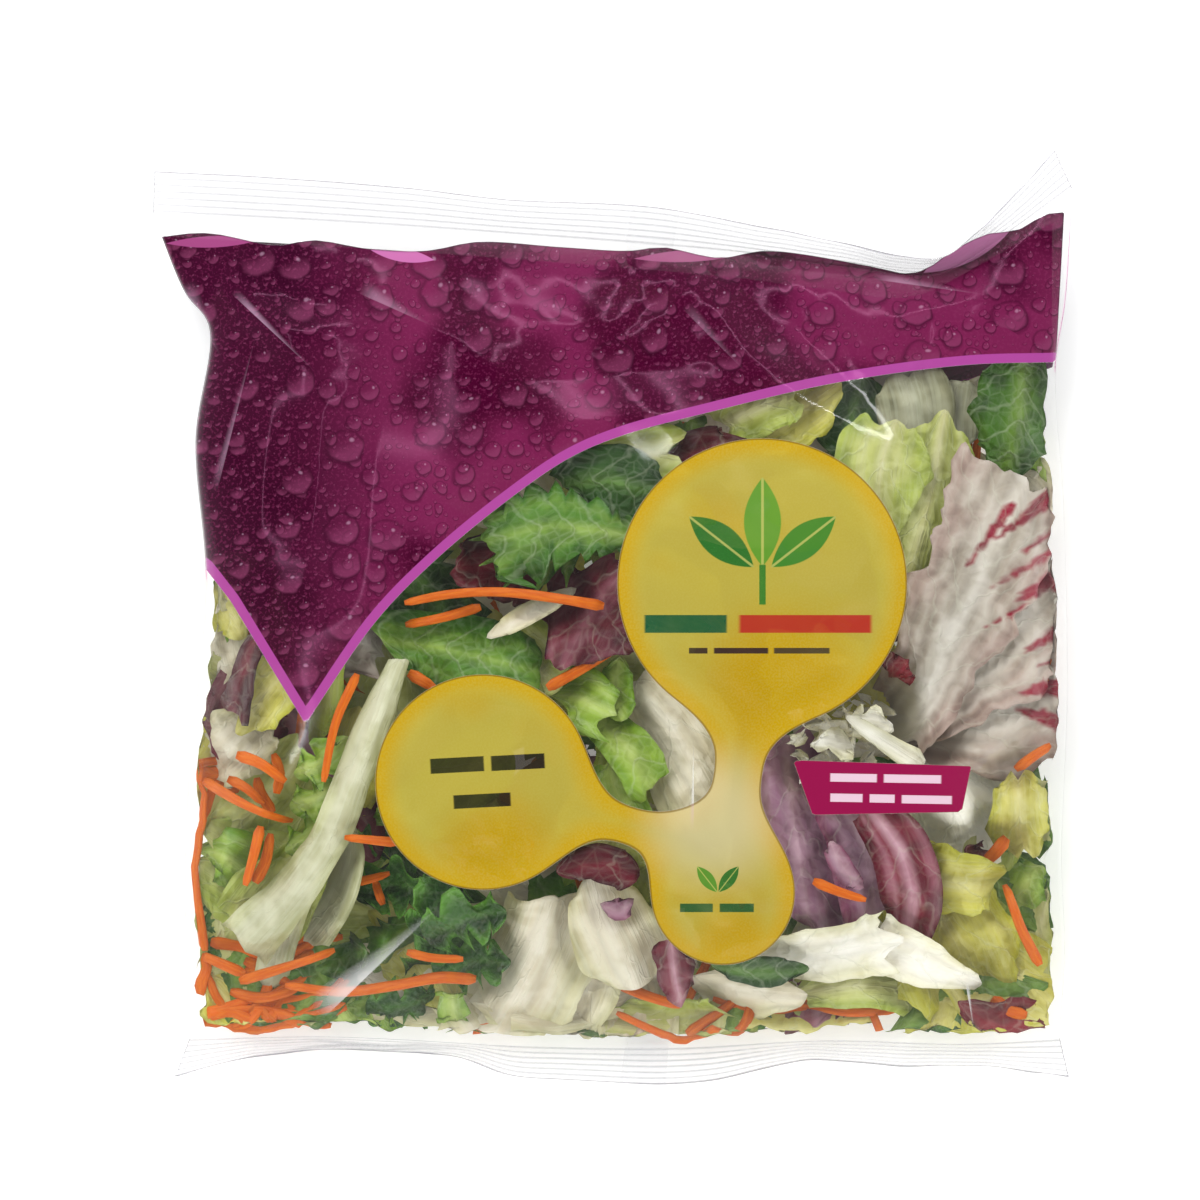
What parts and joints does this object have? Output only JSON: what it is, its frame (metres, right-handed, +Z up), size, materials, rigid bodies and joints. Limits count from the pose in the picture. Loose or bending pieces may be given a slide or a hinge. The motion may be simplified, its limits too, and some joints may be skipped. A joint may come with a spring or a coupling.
{
  "type": "bag of mixed salad leaves",
  "caption": "Sealed clear pillow bag of mixed salad leaves and shredded carrot, crimped across both ends, lying on its back with its printed front up.",
  "frame": {"origin": "centre of the bag's footprint, at the height of the table that it lies on", "axes": "+Z up through the printed front, +Y towards the top seal, +X to the right as the print is seen"},
  "size_m": [0.259, 0.2634, 0.0512],
  "materials": {
    "film": "thin glossy packing film, clear but for its printed fields of purple, yellow and magenta",
    "pale_leaf": "moist pale green and white lettuce, endive and chicory leaf",
    "green_leaf": "moist curly green leaf",
    "red_leaf": "moist dark red chicory leaf with white ribs",
    "carrot": "cut fresh carrot"
  },
  "bodies": {
    "root": {"bag": "film"}
  },
  "joints": []
}
